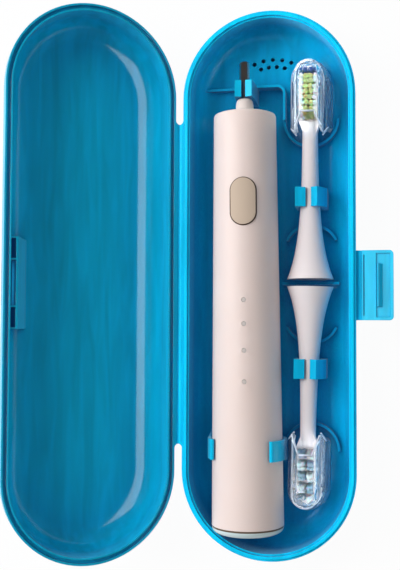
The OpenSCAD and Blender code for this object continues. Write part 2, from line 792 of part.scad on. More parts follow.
module head_stem(head) {
  color(white_abs) place_head(head) difference() {
    union() {
      turned() polygon(concat([[0, 0]], [for (i = [0:24]) [stem_r(i * neck_l / 24), i * neck_l / 24]],
        [[neck_r, neck_l + 2], [0, neck_l + 2]]));
      bristle_plate();
    }
    turned() polygon(concat([[0, -1]], [for (i = [0:8]) [stem_r(i * skirt_depth / 8) - skirt_t,
      i == 0 ? -1 : i * skirt_depth / 8]], [[0, skirt_depth]]));
    turned() translate([0, skirt_depth - 1]) square([socket_outer() + 0.05, socket_l + 1]);
    translate([0, 0, plate_top - backing_t]) linear_extrude(plate_t) backing_outline(0.1);
  }
}

// Outside radius of the socket's sleeve
function socket_outer() = shaft_r + 0.1 + 0.5;

module plate_outline() {
  hull() {
    translate([0, head_l - plate_end_r]) circle(plate_end_r);
    translate([0, neck_l + plate_end_r]) circle(plate_end_r - 0.4);
    translate([0, neck_l - 2]) circle(neck_r - 0.4);
  }
}

module bristle_plate() {
  translate([0, 0, plate_top - plate_t]) linear_extrude(plate_t) plate_outline();
}

module backing_outline(grow) {
  w = tuft_cols * col_pitch + 0.6;
  l = rows * row_pitch + 0.2;
  translate([0, field_at + l / 2 - 1]) square([w + 2 * grow, l + 2 * grow], center = true);
}

module backing_slice() {
  translate([0, 0, plate_top - backing_t]) linear_extrude(backing_t) backing_outline(0);
}

// One tuft: four strands round a middle one, standing on the backing
module tuft(h) {
  for (p = [[0, 0], [1, 0], [0, 1], [-1, 0], [0, -1]])
    translate([p[0] * tuft_spread, p[1] * tuft_spread, 0]) rotate([0, 0, 45]) cylinder(h = h, r = strand_r, $fn = 4);
}

// A head's whole field as one mesh; the outer rows are cut shorter, and rows step in and out
module bristle_field(head) {
  place_head(head) resize([0, 0, 0]) union() {
    backing_slice();
    for (row = [0:rows - 1]) for (col = [0:tuft_cols - 1])
      translate([(col - (tuft_cols - 1) / 2) * col_pitch + (row % 2 == 0 ? 0.12 : -0.12),
          field_at + 0.2 + row * row_pitch, plate_top - 0.3])
        tuft(0.3 + tuft_height(row, col));
  }
}

// Strand length: waved along the head, and lower along the sides
function tuft_height(row, col) = bristle_l - (row % 2 == 0 ? 0 : 0.9)
  - (col == 0 || col == tuft_cols - 1 ? 0.5 : 0);

module shaft_socket(head) {
  color("#9A9DA0") place_head(head) turned() translate([shaft_r + 0.1, skirt_depth]) square([0.5, socket_l - 0.3]);
}

// Half of a cap's section, from its open back up: a wide part with leaning sides, and a
// raised part over the bristles
module cover_half(grow, low) {
  shoulder = cover_r - cover_draft - grow;
  top = cover_top_z - grow;
  edge = 1.8;
  polygon(concat([[0, low], [cover_r - grow, low], [shoulder, cover_mid_z - grow - 1.2],
    [shoulder - 0.4, cover_mid_z - grow - 0.4], [shoulder - 1.2, cover_mid_z - grow],
    [cover_top_r - grow + 0.3, cover_mid_z - grow + 0.3]],
    [for (a = [0:15:90]) [cover_top_r - grow - edge * (1 - cos(a)), top - edge * (1 - sin(a))]], [[0, top]]));
}

module cover_solid(grow, low) {
  l = cover_y - cover_start;
  translate([0, cover_y, 0]) {
    rotate([90, 0, 0]) linear_extrude(l + grow) {
      cover_half(grow, low);
      mirror([1, 0]) cover_half(grow, low);
    }
    rotate_extrude(angle = 180) cover_half(grow, low);
  }
}

// A clear cap over a head: open towards the floor, with a pointed mouth each side of the neck
module head_cap(head) {
  side = 62.2;
  inner = 5.2;
  notch = cover_start + 7.4;
  color("#DDEBF2", 0.45) place_head(head) difference() {
    cover_solid(0, cover_base_z);
    difference() {
      cover_solid(cover_t, cover_base_z - 2);
      // ribs that grip the plate's sides
      for (side = [-1, 1])
        translate([side * (plate_end_r + 0.25 + cover_r / 2) - cover_r / 2, neck_l + 8, plate_top - plate_t])
          cube([cover_r, 11, plate_t - 0.4]);
    }
    // the mouth: slanting sides, and a notch over the neck
    translate([0, 0, cover_base_z - 1]) linear_extrude(40)
      polygon([[-cover_r - 1, cover_start - 1], [cover_r + 1, cover_start - 1], [cover_r + 1, side],
        [cover_r, side - 1], [inner, cover_start], [2.6, notch], [-2.6, notch], [-inner, cover_start],
        [-cover_r, side - 1], [-cover_r - 1, side]]);
  }
}

module upper_head_stem() {
  head_stem(1);
}

module upper_bristles() {
  color("#9DB585") bristle_field(1);
}

module upper_shaft_socket() {
  shaft_socket(1);
}

module upper_head_cap() {
  head_cap(1);
}

module lower_head_stem() {
  head_stem(-1);
}

module lower_bristles() {
  color("#F3F0EA") bristle_field(-1);
}

module lower_shaft_socket() {
  shaft_socket(-1);
}

module lower_head_cap() {
  head_cap(-1);
}

base_shell();
support_ribs();
shaft_clip();
handle_clip();
upper_neck_clip();
lower_neck_clip();
living_hinge();
lid_shell();
latch_hinge();
latch_flap();
handle_housing();
nose_seal();
foot_cap();
foot_gasket();
inner_frame();
drive_motor();
shaft_bearing();
battery_cell();
control_board();
tact_switch();
button_membrane();
indicator_lights();
charging_coil();
coil_core();
power_button();
drive_shaft();
upper_head_stem();
upper_bristles();
upper_shaft_socket();
upper_head_cap();
lower_head_stem();
lower_bristles();
lower_shaft_socket();
lower_head_cap();
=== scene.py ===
# %% [markdown]
# # A travel case for an electric toothbrush
# The case lies open: base on the right, lid on the left. The base holds a white brush
# handle and two brush heads under clear caps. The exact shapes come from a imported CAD
# model. This notebook gives them their finishes, replaces the parts that bend or have
# hairs, lights them and places the camera.

import math
import random

import bmesh
import bpy
from mathutils import Matrix, Vector


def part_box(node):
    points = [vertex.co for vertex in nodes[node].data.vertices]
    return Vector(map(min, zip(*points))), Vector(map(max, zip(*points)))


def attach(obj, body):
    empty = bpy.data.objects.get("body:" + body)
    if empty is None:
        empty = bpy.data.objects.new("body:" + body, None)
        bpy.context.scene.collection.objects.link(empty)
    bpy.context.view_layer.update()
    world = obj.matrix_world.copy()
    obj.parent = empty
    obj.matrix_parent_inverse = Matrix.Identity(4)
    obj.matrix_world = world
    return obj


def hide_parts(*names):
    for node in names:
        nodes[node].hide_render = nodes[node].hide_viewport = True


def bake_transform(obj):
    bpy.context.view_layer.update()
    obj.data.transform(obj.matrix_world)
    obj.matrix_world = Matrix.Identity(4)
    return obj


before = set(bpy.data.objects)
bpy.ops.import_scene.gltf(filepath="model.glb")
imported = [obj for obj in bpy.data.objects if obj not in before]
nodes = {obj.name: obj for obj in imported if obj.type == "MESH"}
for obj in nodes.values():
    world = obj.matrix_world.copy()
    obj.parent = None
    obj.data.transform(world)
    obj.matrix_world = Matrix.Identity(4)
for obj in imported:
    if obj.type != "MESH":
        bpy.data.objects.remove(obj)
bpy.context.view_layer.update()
MM = 0.001

# %% [markdown]
# ## Colours and nodes
# Colours are written as hex, as a picture editor shows them. Blender's shaders work with
# linear light, so one function turns each hex colour into that. A second one fills the
# inputs of a shader node, and a third adds a node with its settings and inputs, so each
# material below reads as a short recipe.


# %% Three small helpers
def linear(code):
    """Turns an sRGB hex colour into linear red, green, blue and alpha."""
    parts = [int(code[i : i + 2], 16) / 255 for i in (1, 3, 5)]
    return tuple(c / 12.92 if c <= 0.04045 else ((c + 0.055) / 1.055) ** 2.4 for c in parts) + (1.0,)


def feed(tree, node, inputs):
    """Fills a node's inputs. Each gets another node's output or a plain value."""
    for socket, value in inputs.items():
        if isinstance(value, bpy.types.NodeSocket):
            tree.links.new(value, node.inputs[socket])
        else:
            node.inputs[socket].default_value = value


def add(tree, kind, inputs=None, **settings):
    """Adds a node with its settings, and fills its inputs."""
    made = tree.nodes.new(kind)
    for name, value in settings.items():
        setattr(made, name, value)
    feed(tree, made, inputs or {})
    return made


print("linear mid grey:", [round(x, 3) for x in linear("#808080")[:3]])

# %% [markdown]
# ## A place to start each finish
# Every finish here is a Principled shader. What changes is the colour, how rough the skin
# is, and how a fine pattern tilts the light. The pattern is laid in real millimetres from
# the object's own coordinates, so it stays the same size on a small clip and a large tray.


# %% Start a material
def start(name, values):
    """A new material with a Principled shader; values are those that it has all over."""
    made = bpy.data.materials.new(name)
    made.use_nodes = True
    tree = made.node_tree
    tree.nodes.clear()
    shader = add(tree, "ShaderNodeBsdfPrincipled", values)
    add(tree, "ShaderNodeOutputMaterial", {"Surface": shader.outputs[0]})
    return made, tree, shader


def show(tree, shader):
    """Makes a shader the one that the material shows."""
    output = next(node for node in tree.nodes if node.type == "OUTPUT_MATERIAL")
    feed(tree, output, {"Surface": shader.outputs[0]})


def millimetres(tree, size):
    """Object coordinates scaled so that one pattern step is size millimetres wide."""
    place = add(tree, "ShaderNodeTexCoord")
    steps = {0: place.outputs["Object"], "Scale": 1 / (size * MM)}
    return add(tree, "ShaderNodeVectorMath", steps, operation="SCALE").outputs[0]


print("a start for each finish is ready")

# %% [markdown]
# ## Moulded polypropylene
# The case is injection-moulded polypropylene, which can fold thousands of times at a thin
# hinge. A polished mould leaves a glossy skin. Two things give it away: long soft waves
# where the plastic shrank, which bend the reflections, and faint flow marks along the
# tray, where the melt ran.
#
# Light that reaches a corner has bounced from cyan to cyan, and each bounce takes more
# green away, so a deep corner looks navy. The few bounces of a render don't reach that
# far. So that shade is painted into the colour. An Ambient Occlusion node measures how
# closed in a point is. Within 40 mm it leads the colour from cyan to navy, and within
# 14 mm it darkens a narrow gap: both are painted shade.

# %% The case's colour, with painted shade
TONE_REACH, GAP_REACH = 40, 14
FLOW_WIDE, FLOW_LONG = 4.2, 42


def open_within(tree, reach):
    """How open a point is to its surroundings, from 0 to 1, within a reach in millimetres."""
    return add(tree, "ShaderNodeAmbientOcclusion", {"Distance": reach * MM}, samples=4).outputs["AO"]


def painted_case_shade(tree, how_open, open_colour, corner_shade_colour):
    """Painted shade in the plastic's colour, from navy in a deep corner to cyan in the open."""
    tone = add(tree, "ShaderNodeValToRGB", {"Fac": how_open})
    tone.color_ramp.elements[0].position = 0.05
    tone.color_ramp.elements[0].color = linear(corner_shade_colour)
    tone.color_ramp.elements[1].position = 0.9
    tone.color_ramp.elements[1].color = linear(open_colour)
    for place, colour in ((0.2, "#0473B2"), (0.4, "#08A4DA"), (0.65, "#0BC2F0")):
        tone.color_ramp.elements.new(place).color = linear(colour)
    return tone.outputs[0]


def case_level(tree, gap_shade_least):
    """What the colour is multiplied by: flow marks, and painted shade that darkens a narrow gap."""
    along = {0: millimetres(tree, FLOW_WIDE), 1: (1.0, FLOW_WIDE / FLOW_LONG, 1.0)}
    long_way = add(tree, "ShaderNodeVectorMath", along, operation="MULTIPLY")
    flow = add(
        tree,
        "ShaderNodeTexNoise",
        {"Vector": long_way.outputs[0], "Scale": 1.0, "Detail": 2.0, "Distortion": 0.6},
    )
    marks = add(
        tree,
        "ShaderNodeMapRange",
        {"Value": flow.outputs["Fac"], "From Min": 0.3, "From Max": 0.7, "To Min": 0.78, "To Max": 1.0},
    )
    # Painted shade: within the gap reach, a nearly closed-in point is darkened.
    near = open_within(tree, GAP_REACH)
    gap = add(
        tree,
        "ShaderNodeMapRange",
        {"Value": near, "From Min": 0.08, "From Max": 0.42, "To Min": gap_shade_least, "To Max": 1.0},
    )
    both = {0: marks.outputs[0], 1: gap.outputs[0]}
    return add(tree, "ShaderNodeMath", both, operation="MULTIPLY").outputs[0]


print("colour: from navy to cyan within", TONE_REACH, "mm, gaps within", GAP_REACH, "mm")

# %% [markdown]
# The Bevel node rounds each edge in the shading by a third of a millimetre, as the mould
# does. Real geometry could do it too, but the exact meshes stay as they are. Two bumps
# follow it: the long waves and a fine grain, which also makes the gloss a little uneven.


# %% The case's skin
def case_skin(tree):
    """The roughness and the normal of a polished moulding."""
    waves = add(tree, "ShaderNodeTexNoise", {"Vector": millimetres(tree, 22), "Scale": 1.0, "Detail": 2.0})
    grain = add(tree, "ShaderNodeTexNoise", {"Vector": millimetres(tree, 0.7), "Scale": 1.0, "Detail": 2.0})
    polish = add(
        tree,
        "ShaderNodeMapRange",
        {"Value": grain.outputs["Fac"], "From Min": 0.3, "From Max": 0.7, "To Min": 0.1, "To Max": 0.16},
    )
    edge = add(tree, "ShaderNodeBevel", {"Radius": 0.35 * MM}, samples=4)
    wavy = add(
        tree,
        "ShaderNodeBump",
        {"Height": waves.outputs["Fac"], "Normal": edge.outputs[0], "Strength": 0.5, "Distance": 0.25 * MM},
    )
    grainy = add(
        tree,
        "ShaderNodeBump",
        {"Height": grain.outputs["Fac"], "Normal": wavy.outputs[0], "Strength": 0.12, "Distance": 0.03 * MM},
    )
    return polish.outputs[0], grainy.outputs[0]


print("skin: waves 22 mm wide, grain 0.7 mm wide")

# %% [markdown]
# Three finishes share this recipe, with different amounts of painted shade. The base gets
# the deepest painted shade in its corners. The lid lies open to the light, and its groove
# is shallow, so it gets less painted shade there. The latch is a thin flap, and its colour
# is painted a little lighter. Plastic lets light in and out again a millimetre on, which is
# the subsurface part, and its skin has a pale bloom when seen from the side, which is the
# sheen. Where a place is nearly closed in, a weak blue painted glow stands for the light
# that shines through the wall from outside.


# %% Three case finishes
def case_plastic(name, open_colour, corner_shade_colour, gap_shade_least, glow):
    """Glossy cyan polypropylene with painted shade; glow is a painted blue glow in closed-in places."""
    values = {
        "IOR": 1.49,
        "Specular IOR Level": 0.3,
        "Sheen Weight": 0.38,
        "Sheen Roughness": 0.35,
        "Sheen Tint": linear("#A8E4F8"),
        "Subsurface Weight": 0.12,
        "Subsurface Radius": (0.3, 1.2, 2.0),
        "Subsurface Scale": 1.0 * MM,
    }
    made, tree, shader = start(name, values)
    how_open = open_within(tree, TONE_REACH)
    tone = painted_case_shade(tree, how_open, open_colour, corner_shade_colour)
    coloured = {0: tone, "Scale": case_level(tree, gap_shade_least)}
    colour = add(tree, "ShaderNodeVectorMath", coloured, operation="SCALE")
    roughness, normal = case_skin(tree)
    feed(tree, shader, {"Base Color": colour.outputs[0], "Roughness": roughness, "Normal": normal})
    # A painted glow: a weak blue emission where a point is nearly closed in.
    if glow > 0:
        painted_glow_strength = add(
            tree,
            "ShaderNodeMapRange",
            {"Value": how_open, "From Min": 0.0, "From Max": 0.05, "To Min": glow, "To Max": 0.0},
        )
        feed(tree, shader, {"Emission Color": linear("#0A5AA0"), "Emission Strength": painted_glow_strength.outputs[0]})
    return made


# Painted shade and light set the three apart: less painted shade on the lid, and on the latch a painted
# lighter cyan.
polypropylene = case_plastic("glossy_moulded_polypropylene", "#0BC4EE", "#023468", 0.04, 0.2)
lid_polypropylene = case_plastic("lid_moulded_polypropylene", "#0BC4EE", "#0686BE", 0.7, 0.1)
painted_lighter_polypropylene = case_plastic("latch_polypropylene_painted_lighter", "#10C9F2", "#0686BE", 0.6, 0.0)
print("polypropylene: IOR 1.49, flow marks", FLOW_WIDE, "mm wide and", FLOW_LONG, "mm long")

# %% [markdown]
# ## Satin ABS
# The handle and the heads are moulded ABS with a fine matt spark-eroded skin. It takes a
# broad, soft highlight. The grain is far too fine to see, so it is drawn at 0.35 mm. The
# handle is a warm white, and the heads, moulded from another batch, a cooler one.


# %% The handle's and the heads' plastic
def satin(name, dark, light):
    """Satin ABS that drifts a little between two tones over 18 mm."""
    values = {
        "Roughness": 0.38,
        "IOR": 1.52,
        "Sheen Weight": 0.5,
        "Sheen Roughness": 0.2,
        "Subsurface Weight": 0.1,
        "Subsurface Radius": (1.6, 1.2, 1.0),
        "Subsurface Scale": 0.8 * MM,
    }
    made, tree, shader = start(name, values)
    skin = add(tree, "ShaderNodeTexNoise", {"Vector": millimetres(tree, 0.35), "Scale": 1.0, "Detail": 3.0})
    cloud = add(tree, "ShaderNodeTexNoise", {"Vector": millimetres(tree, 18), "Scale": 1.0, "Detail": 1.0})
    tone = add(tree, "ShaderNodeValToRGB", {"Fac": cloud.outputs["Fac"]})
    tone.color_ramp.elements[0].color = linear(dark)
    tone.color_ramp.elements[1].color = linear(light)
    edge = add(tree, "ShaderNodeBevel", {"Radius": 0.3 * MM}, samples=4)
    bump = add(
        tree,
        "ShaderNodeBump",
        {"Height": skin.outputs["Fac"], "Normal": edge.outputs[0], "Strength": 0.15, "Distance": 0.03 * MM},
    )
    feed(tree, shader, {"Base Color": tone.outputs[0], "Normal": bump.outputs[0]})
    return made


satin_abs = satin("satin_moulded_abs", "#EFDAD2", "#F3E1DB")
white_abs = satin("white_moulded_abs", "#F4E9EA", "#F8EFF0")
print("satin ABS: IOR 1.52, roughness 0.38")

# %% [markdown]
# ## Soft-touch elastomer, gaskets and the foot
# The button and the gaskets are thermoplastic elastomer, moulded over the ABS. It is much
# rougher than the ABS. The foot cap is a pale grey-green ABS with a smoother skin.


# %% Plain moulded finishes
def moulded(name, colour, roughness, ior=1.5, grain_mm=0.3, more=None):
    """A single-colour moulding with a fine grain of its own. more holds further shader values."""
    made, tree, shader = start(name, {"Base Color": linear(colour), "IOR": ior, **(more or {})})
    grain = millimetres(tree, grain_mm)
    skin = add(tree, "ShaderNodeTexNoise", {"Vector": grain, "Scale": 1.0, "Detail": 3.0})
    edge = add(tree, "ShaderNodeBevel", {"Radius": 0.25 * MM}, samples=4)
    bump = add(
        tree,
        "ShaderNodeBump",
        {"Height": skin.outputs["Fac"], "Normal": edge.outputs[0], "Strength": 0.2, "Distance": 0.03 * MM},
    )
    mottle = add(
        tree,
        "ShaderNodeMapRange",
        {"Value": skin.outputs["Fac"], "To Min": roughness - 0.05, "To Max": roughness + 0.05},
    )
    feed(tree, shader, {"Roughness": mottle.outputs[0], "Normal": bump.outputs[0]})
    return made


BEIGE = "#D2BDA9"
soft_touch = moulded("soft_touch_moulded_elastomer", BEIGE, 0.55, 1.48, 0.4)
silicone = moulded("moulded_silicone", "#E9DCD5", 0.5, 1.41)
gasket_rubber = moulded("moulded_gasket_rubber", "#6E5A49", 0.6)
pale_abs = moulded("polished_pale_abs", "#D3E4E4", 0.25, 1.52)
glass_nylon = moulded("glass_filled_nylon", "#5B6166", 0.6, 1.53)
light_guide = moulded("moulded_light_guide", "#D9CEC9", 0.3, 1.49)
plain = (soft_touch, silicone, gasket_rubber, pale_abs, glass_nylon, light_guide)
print("plain mouldings:", [finish.name for finish in plain])

# %% [markdown]
# The button stands less than a millimetre proud of the handle. The step round it lies in
# shade, so its side is painted dark brown as painted shade. That place is found as the
# case's corners are, here within 2 mm.

# %% Painted shade in the step round the button
tree = soft_touch.node_tree
step = add(tree, "ShaderNodeAmbientOcclusion", {"Distance": 2.0 * MM}, samples=8)
painted_step_shade = add(tree, "ShaderNodeValToRGB", {"Fac": step.outputs["AO"]})
painted_step_shade.color_ramp.elements[0].position = 0.6
painted_step_shade.color_ramp.elements[0].color = linear("#4E3426")
painted_step_shade.color_ramp.elements[1].position = 0.95
painted_step_shade.color_ramp.elements[1].color = linear(BEIGE)
feed(tree, tree.nodes["Principled BSDF"], {"Base Color": painted_step_shade.outputs[0]})
print("button: beige on top, brown in its step")

# %% [markdown]
# ## Stainless steel
# The drive shaft is turned stainless rod. A lathe leaves fine rings round it, too fine to
# see, so they are drawn about every half millimetre. A wave texture has 20 / tau bands in
# one unit, so a unit of 1.5 mm gives a ring every 0.47 mm. Steel is a metal, so its colour
# is the colour of its reflections.

# %% The shaft's steel
steel = {"Base Color": linear("#C9BFB8"), "Metallic": 1.0, "Roughness": 0.34}
turned_steel, tree, shader = start("turned_stainless_steel", steel)
rings = add(
    tree,
    "ShaderNodeTexWave",
    {"Vector": millimetres(tree, 1.5), "Scale": 1.0, "Distortion": 0.4, "Detail": 1.0},
    wave_type="BANDS",
    bands_direction="Y",
)
bump = add(tree, "ShaderNodeBump", {"Height": rings.outputs["Fac"], "Strength": 0.2, "Distance": 0.02 * MM})
feed(tree, shader, {"Normal": bump.outputs[0]})
print("steel: turned rings every", round(1.5 * math.tau / 20, 2), "mm")

# %% [markdown]
# ## Clear polystyrene
# The head caps are thin clear polystyrene, with a skin as glossy as glass. Its own IOR is
# 1.59, but the photograph's thin caps bend the light less, and 1.3 matches them better. A
# path tracer can't aim light from a lamp through glass, so for shadow rays the shader turns
# to a plain transparent one. That keeps the brush heads lit inside. Two more things are
# seen on a real cap: its steep sides are hazy from fine scratches, which show where the eye
# only grazes them, and its round end has a crumpled look, where the melt froze first.

# %% The caps' crumpled skin
CRUMPLE_FROM, CRUMPLE_TO = 68 * MM, 84 * MM

glassy = {"Base Color": linear("#F6FBFD"), "Roughness": 0.03, "IOR": 1.3, "Transmission Weight": 1.0}
clear_polystyrene, tree, shader = start("clear_moulded_polystyrene", glassy)
place = add(tree, "ShaderNodeTexCoord")
apart = add(tree, "ShaderNodeSeparateXYZ", {"Vector": place.outputs["Object"]})
outward = add(tree, "ShaderNodeMath", {0: apart.outputs["Y"]}, operation="ABSOLUTE")
crumpled = add(
    tree,
    "ShaderNodeMapRange",
    {
        "Value": outward.outputs[0],
        "From Min": CRUMPLE_FROM,
        "From Max": CRUMPLE_TO,
        "To Min": 0.1,
        "To Max": 1.0,
    },
)
ripple = add(tree, "ShaderNodeTexNoise", {"Vector": millimetres(tree, 2.2), "Scale": 1.0, "Detail": 1.0})
bump = add(
    tree,
    "ShaderNodeBump",
    {"Height": ripple.outputs["Fac"], "Strength": crumpled.outputs[0], "Distance": 0.9 * MM},
)
feed(tree, shader, {"Normal": bump.outputs[0]})
print("crumpled from", CRUMPLE_FROM / MM, "mm outward")

# %% The caps' haze and their shadow
haze = add(tree, "ShaderNodeBsdfDiffuse", {"Color": linear("#DDE6F2")})
grazing = add(tree, "ShaderNodeLayerWeight", {"Blend": 0.5})
thick = add(
    tree,
    "ShaderNodeMapRange",
    {"Value": grazing.outputs["Facing"], "From Min": 0.35, "From Max": 1.0, "To Min": 0.0, "To Max": 0.42},
)
hazy = add(tree, "ShaderNodeMixShader", {0: thick.outputs[0], 1: shader.outputs[0], 2: haze.outputs[0]})
passing = add(tree, "ShaderNodeBsdfTransparent", {"Color": linear("#EAF4F8")})
rays = add(tree, "ShaderNodeLightPath")
shown = {0: rays.outputs["Is Shadow Ray"], 1: hazy.outputs[0], 2: passing.outputs[0]}
show(tree, add(tree, "ShaderNodeMixShader", shown))
print("clear caps: shadow rays pass, steep sides hazy")

# %% [markdown]
# ## Metals and boards inside the handle
# The sealed handle hides its motor, cell, coil and board. They get simple true finishes,
# so that a cut-open view looks right.


# %% Inner finishes
def metal(name, colour, roughness):
    """A plain metal with a faint uneven grain."""
    values = {"Base Color": linear(colour), "Metallic": 1.0, "Roughness": roughness}
    made, tree, shader = start(name, values)
    uneven = add(tree, "ShaderNodeTexNoise", {"Vector": millimetres(tree, 0.5), "Scale": 1.0, "Detail": 2.0})
    bump = add(
        tree,
        "ShaderNodeBump",
        {"Height": uneven.outputs["Fac"], "Strength": 0.15, "Distance": 0.02 * MM},
    )
    feed(tree, shader, {"Normal": bump.outputs[0]})
    return made


nickel_can = metal("nickel_plated_steel", "#BFC2C4", 0.3)
sintered_bronze = metal("sintered_bronze", "#C29C5B", 0.45)
copper_winding = metal("enamelled_copper", "#B86A3B", 0.3)
cell_wrap = moulded("shrink_wrap_pvc", "#2F7D4F", 0.3)
board_mask = moulded("solder_mask_epoxy", "#1F6B45", 0.35)
switch_body = moulded("switch_phenolic", "#26282A", 0.5)
ferrite = moulded("pressed_ferrite", "#3B3D40", 0.7)
print("inner finishes ready")

# %% [markdown]
# ## Dress the exact parts
# The CAD parts keep their meshes. Each gets its finish and smooth shading. The import
# splits the mesh where its normals break, so a small geometry-node group welds it, and
# keeps an edge sharp only where it turns by more than 28 degrees. As a modifier, it
# changes what is shown and leaves the mesh itself alone.

# %% Smooth shading for exact meshes
SHARP_TURN = math.radians(28)
WELD = 0.002 * MM


def smoothing():
    """A node group that welds a mesh and keeps only its real edges sharp."""
    group = bpy.data.node_groups.new("smooth_skin", "GeometryNodeTree")
    group.interface.new_socket("Geometry", in_out="INPUT", socket_type="NodeSocketGeometry")
    group.interface.new_socket("Geometry", in_out="OUTPUT", socket_type="NodeSocketGeometry")
    source = add(group, "NodeGroupInput")
    weld = {"Geometry": source.outputs[0], "Distance": WELD}
    welded = add(group, "GeometryNodeMergeByDistance", weld)
    smooth = add(group, "GeometryNodeSetShadeSmooth", {"Geometry": welded.outputs[0]}, domain="FACE")
    angle = add(group, "GeometryNodeInputMeshEdgeAngle")
    compared = {0: angle.outputs["Unsigned Angle"], 1: SHARP_TURN}
    turn = add(group, "FunctionNodeCompare", compared, operation="GREATER_THAN")
    edges = {"Geometry": smooth.outputs[0], "Selection": turn.outputs[0], "Shade Smooth": False}
    sharp = add(group, "GeometryNodeSetShadeSmooth", edges, domain="EDGE")
    add(group, "NodeGroupOutput", {0: sharp.outputs[0]})
    return group


skin_group = smoothing()
print("smooth skin with", len(skin_group.nodes), "nodes")


# %% Give each part its finish
def dress(name, finish):
    """Gives a CAD part its finish and smooth shading."""
    part = nodes[name]
    part.data.materials.clear()
    part.data.materials.append(finish)
    if "custom_normal" in part.data.attributes:
        part.data.attributes.remove(part.data.attributes["custom_normal"])
    part.modifiers.new("smooth skin", "NODES").node_group = skin_group


CLIPS = "shaft_clip handle_clip upper_neck_clip lower_neck_clip"
CAPS = "upper_head_cap lower_head_cap"
FINISHES = {
    polypropylene: "base_shell support_ribs living_hinge latch_hinge " + CLIPS,
    lid_polypropylene: "lid_shell",
    painted_lighter_polypropylene: "latch_flap",
    satin_abs: "handle_housing",
    white_abs: "upper_head_stem lower_head_stem",
    silicone: "nose_seal button_membrane",
    pale_abs: "foot_cap",
    gasket_rubber: "foot_gasket",
    soft_touch: "power_button",
    light_guide: "indicator_lights",
    turned_steel: "drive_shaft",
    nickel_can: "drive_motor upper_shaft_socket lower_shaft_socket",
    sintered_bronze: "shaft_bearing",
    copper_winding: "charging_coil",
    clear_polystyrene: CAPS,
    glass_nylon: "inner_frame",
    cell_wrap: "battery_cell",
    board_mask: "control_board",
    switch_body: "tact_switch",
    ferrite: "coil_core",
}
for finish, names in FINISHES.items():
    for name in names.split():
        dress(name, finish)
print("dressed", sum(len(names.split()) for names in FINISHES.values()), "of", len(nodes), "parts")

# %% [markdown]
# ## Bristles
# A brush head holds tufts of nylon filament, each folded into its hole. The CAD model
# has five thick strands a tuft. Here every tuft gets forty-eight thin filaments with
# rounded tips that lean a little outwards, so the field looks soft. Blender's hair would
# be quicker to set up, but it isn't a mesh, and these filaments have to be in the exported
# model too. Nylon lets light through, so a tuft glows where the lamp reaches its tips.

# %% Finishes for the filaments
# The grey nylon's grey-blue is painted shade between the lower head's taller blocks.
NYLON = {"white": "#FAF8F4", "green": "#CAD694", "blue": "#2C5C9E", "grey": "#93AEC0", "pearl": "#DAD9DD"}
LETS_LIGHT_IN = {"Subsurface Weight": 0.6, "Subsurface Scale": 0.6 * MM}
nylons = [
    moulded("drawn_" + colour + "_nylon", code, 0.35, 1.53, 0.5, LETS_LIGHT_IN)
    for colour, code in NYLON.items()
]
print("filament finishes:", [finish.name for finish in nylons])

# %% [markdown]
# Each head's bristles are built in the head's own place, where +Y runs from its skirt to
# its tip, and are then moved as a whole. So one function serves both heads, which lie base
# to base and not quite in one line.

# %% Where a head lies
HEAD_X, HEAD_Z, HEAD_GAP = 16.0, 11.4, 3.0
LOWER_TILT = math.radians(0.98)


def head_frame(head):
    """The place of a head: 1 is the upper one, -1 the lower."""
    turn = 0 if head > 0 else math.pi - LOWER_TILT
    place = Matrix.Translation(Vector((HEAD_X, head * HEAD_GAP / 2, HEAD_Z)) * MM)
    return place @ Matrix.Rotation(turn, 4, "Z")


print("heads start", HEAD_GAP / 2, "mm from the middle of the case")

# %% [markdown]
# A filament is a rod with three rings of points and a tip, made with bmesh, Blender's kit
# for building a mesh in a script. The last ring is narrower, which rounds the end.

# %% One filament
FILAMENT_R, SIDES = 0.1, 6


def filament(mesh, foot, tip, slot):
    """A thin rod with a rounded end, from foot to tip, in metres. slot says which nylon it is."""
    radius = FILAMENT_R * MM
    length = (tip - foot).length
    along = (tip - foot).normalized()
    side = along.orthogonal().normalized()
    across = along.cross(side)
    rings = []
    for at, wide in ((0, 1), (length - radius, 1), (length - radius * 0.3, 0.7)):
        ring = []
        for i in range(SIDES):
            angle = i * math.tau / SIDES
            out = (side * math.cos(angle) + across * math.sin(angle)) * radius * wide
            ring.append(mesh.verts.new(foot + along * at + out))
        rings.append(ring)
    end = mesh.verts.new(tip)
    pairs = [(i, (i + 1) % SIDES) for i in range(SIDES)]
    outlines = [(low[i], low[k], high[k], high[i]) for low, high in zip(rings, rings[1:]) for i, k in pairs]
    outlines += [(rings[-1][i], rings[-1][k], end) for i, k in pairs]
    for outline in outlines:
        face = mesh.faces.new(outline)
        face.material_index = slot
        face.smooth = True


print("a filament is", 2 * FILAMENT_R, "mm thick")

# %% Turn a built mesh into a piece
def as_piece(name, mesh, finishes):
    """A new object in the scene from a built mesh, with its finishes."""
    data = bpy.data.meshes.new(name)
    mesh.to_mesh(data)
    mesh.free()
    for finish in finishes:
        data.materials.append(finish)
    made = bpy.data.objects.new(name, data)
    bpy.context.scene.collection.objects.link(made)
    print(name, "has", len(data.polygons), "faces")
    return made


# %% [markdown]
# The tufts stand in nine rows of four, and every other row is shifted a little. A sunflower
# spiral spreads the filaments evenly over a round hole. No two tufts of a real brush stand
# alike, so random numbers move and shorten each one a little. Their seed is fixed, so the
# brush comes out the same each time.

# %% A field of tufts
FIELD_AT, PLATE_TOP, ROOT = 63.8, 1.98, 0.3
ROWS, COLUMNS, ROW_PITCH, COLUMN_PITCH, STAGGER = 9, 4, 2.15, 1.85, 0.12
FILAMENTS, TUFT_R, GOLDEN_ANGLE = 48, 0.88, 2.39996
STRAY, LEAN, TIP_DROP = 0.45, 0.06, 0.25


def tuft_offsets():
    """Places for the filaments of one round tuft, from a sunflower spiral."""
    reach = [(TUFT_R * math.sqrt((i + 0.5) / FILAMENTS), i * GOLDEN_ANGLE) for i in range(FILAMENTS)]
    return [(r * math.cos(a), r * math.sin(a)) for r, a in reach]


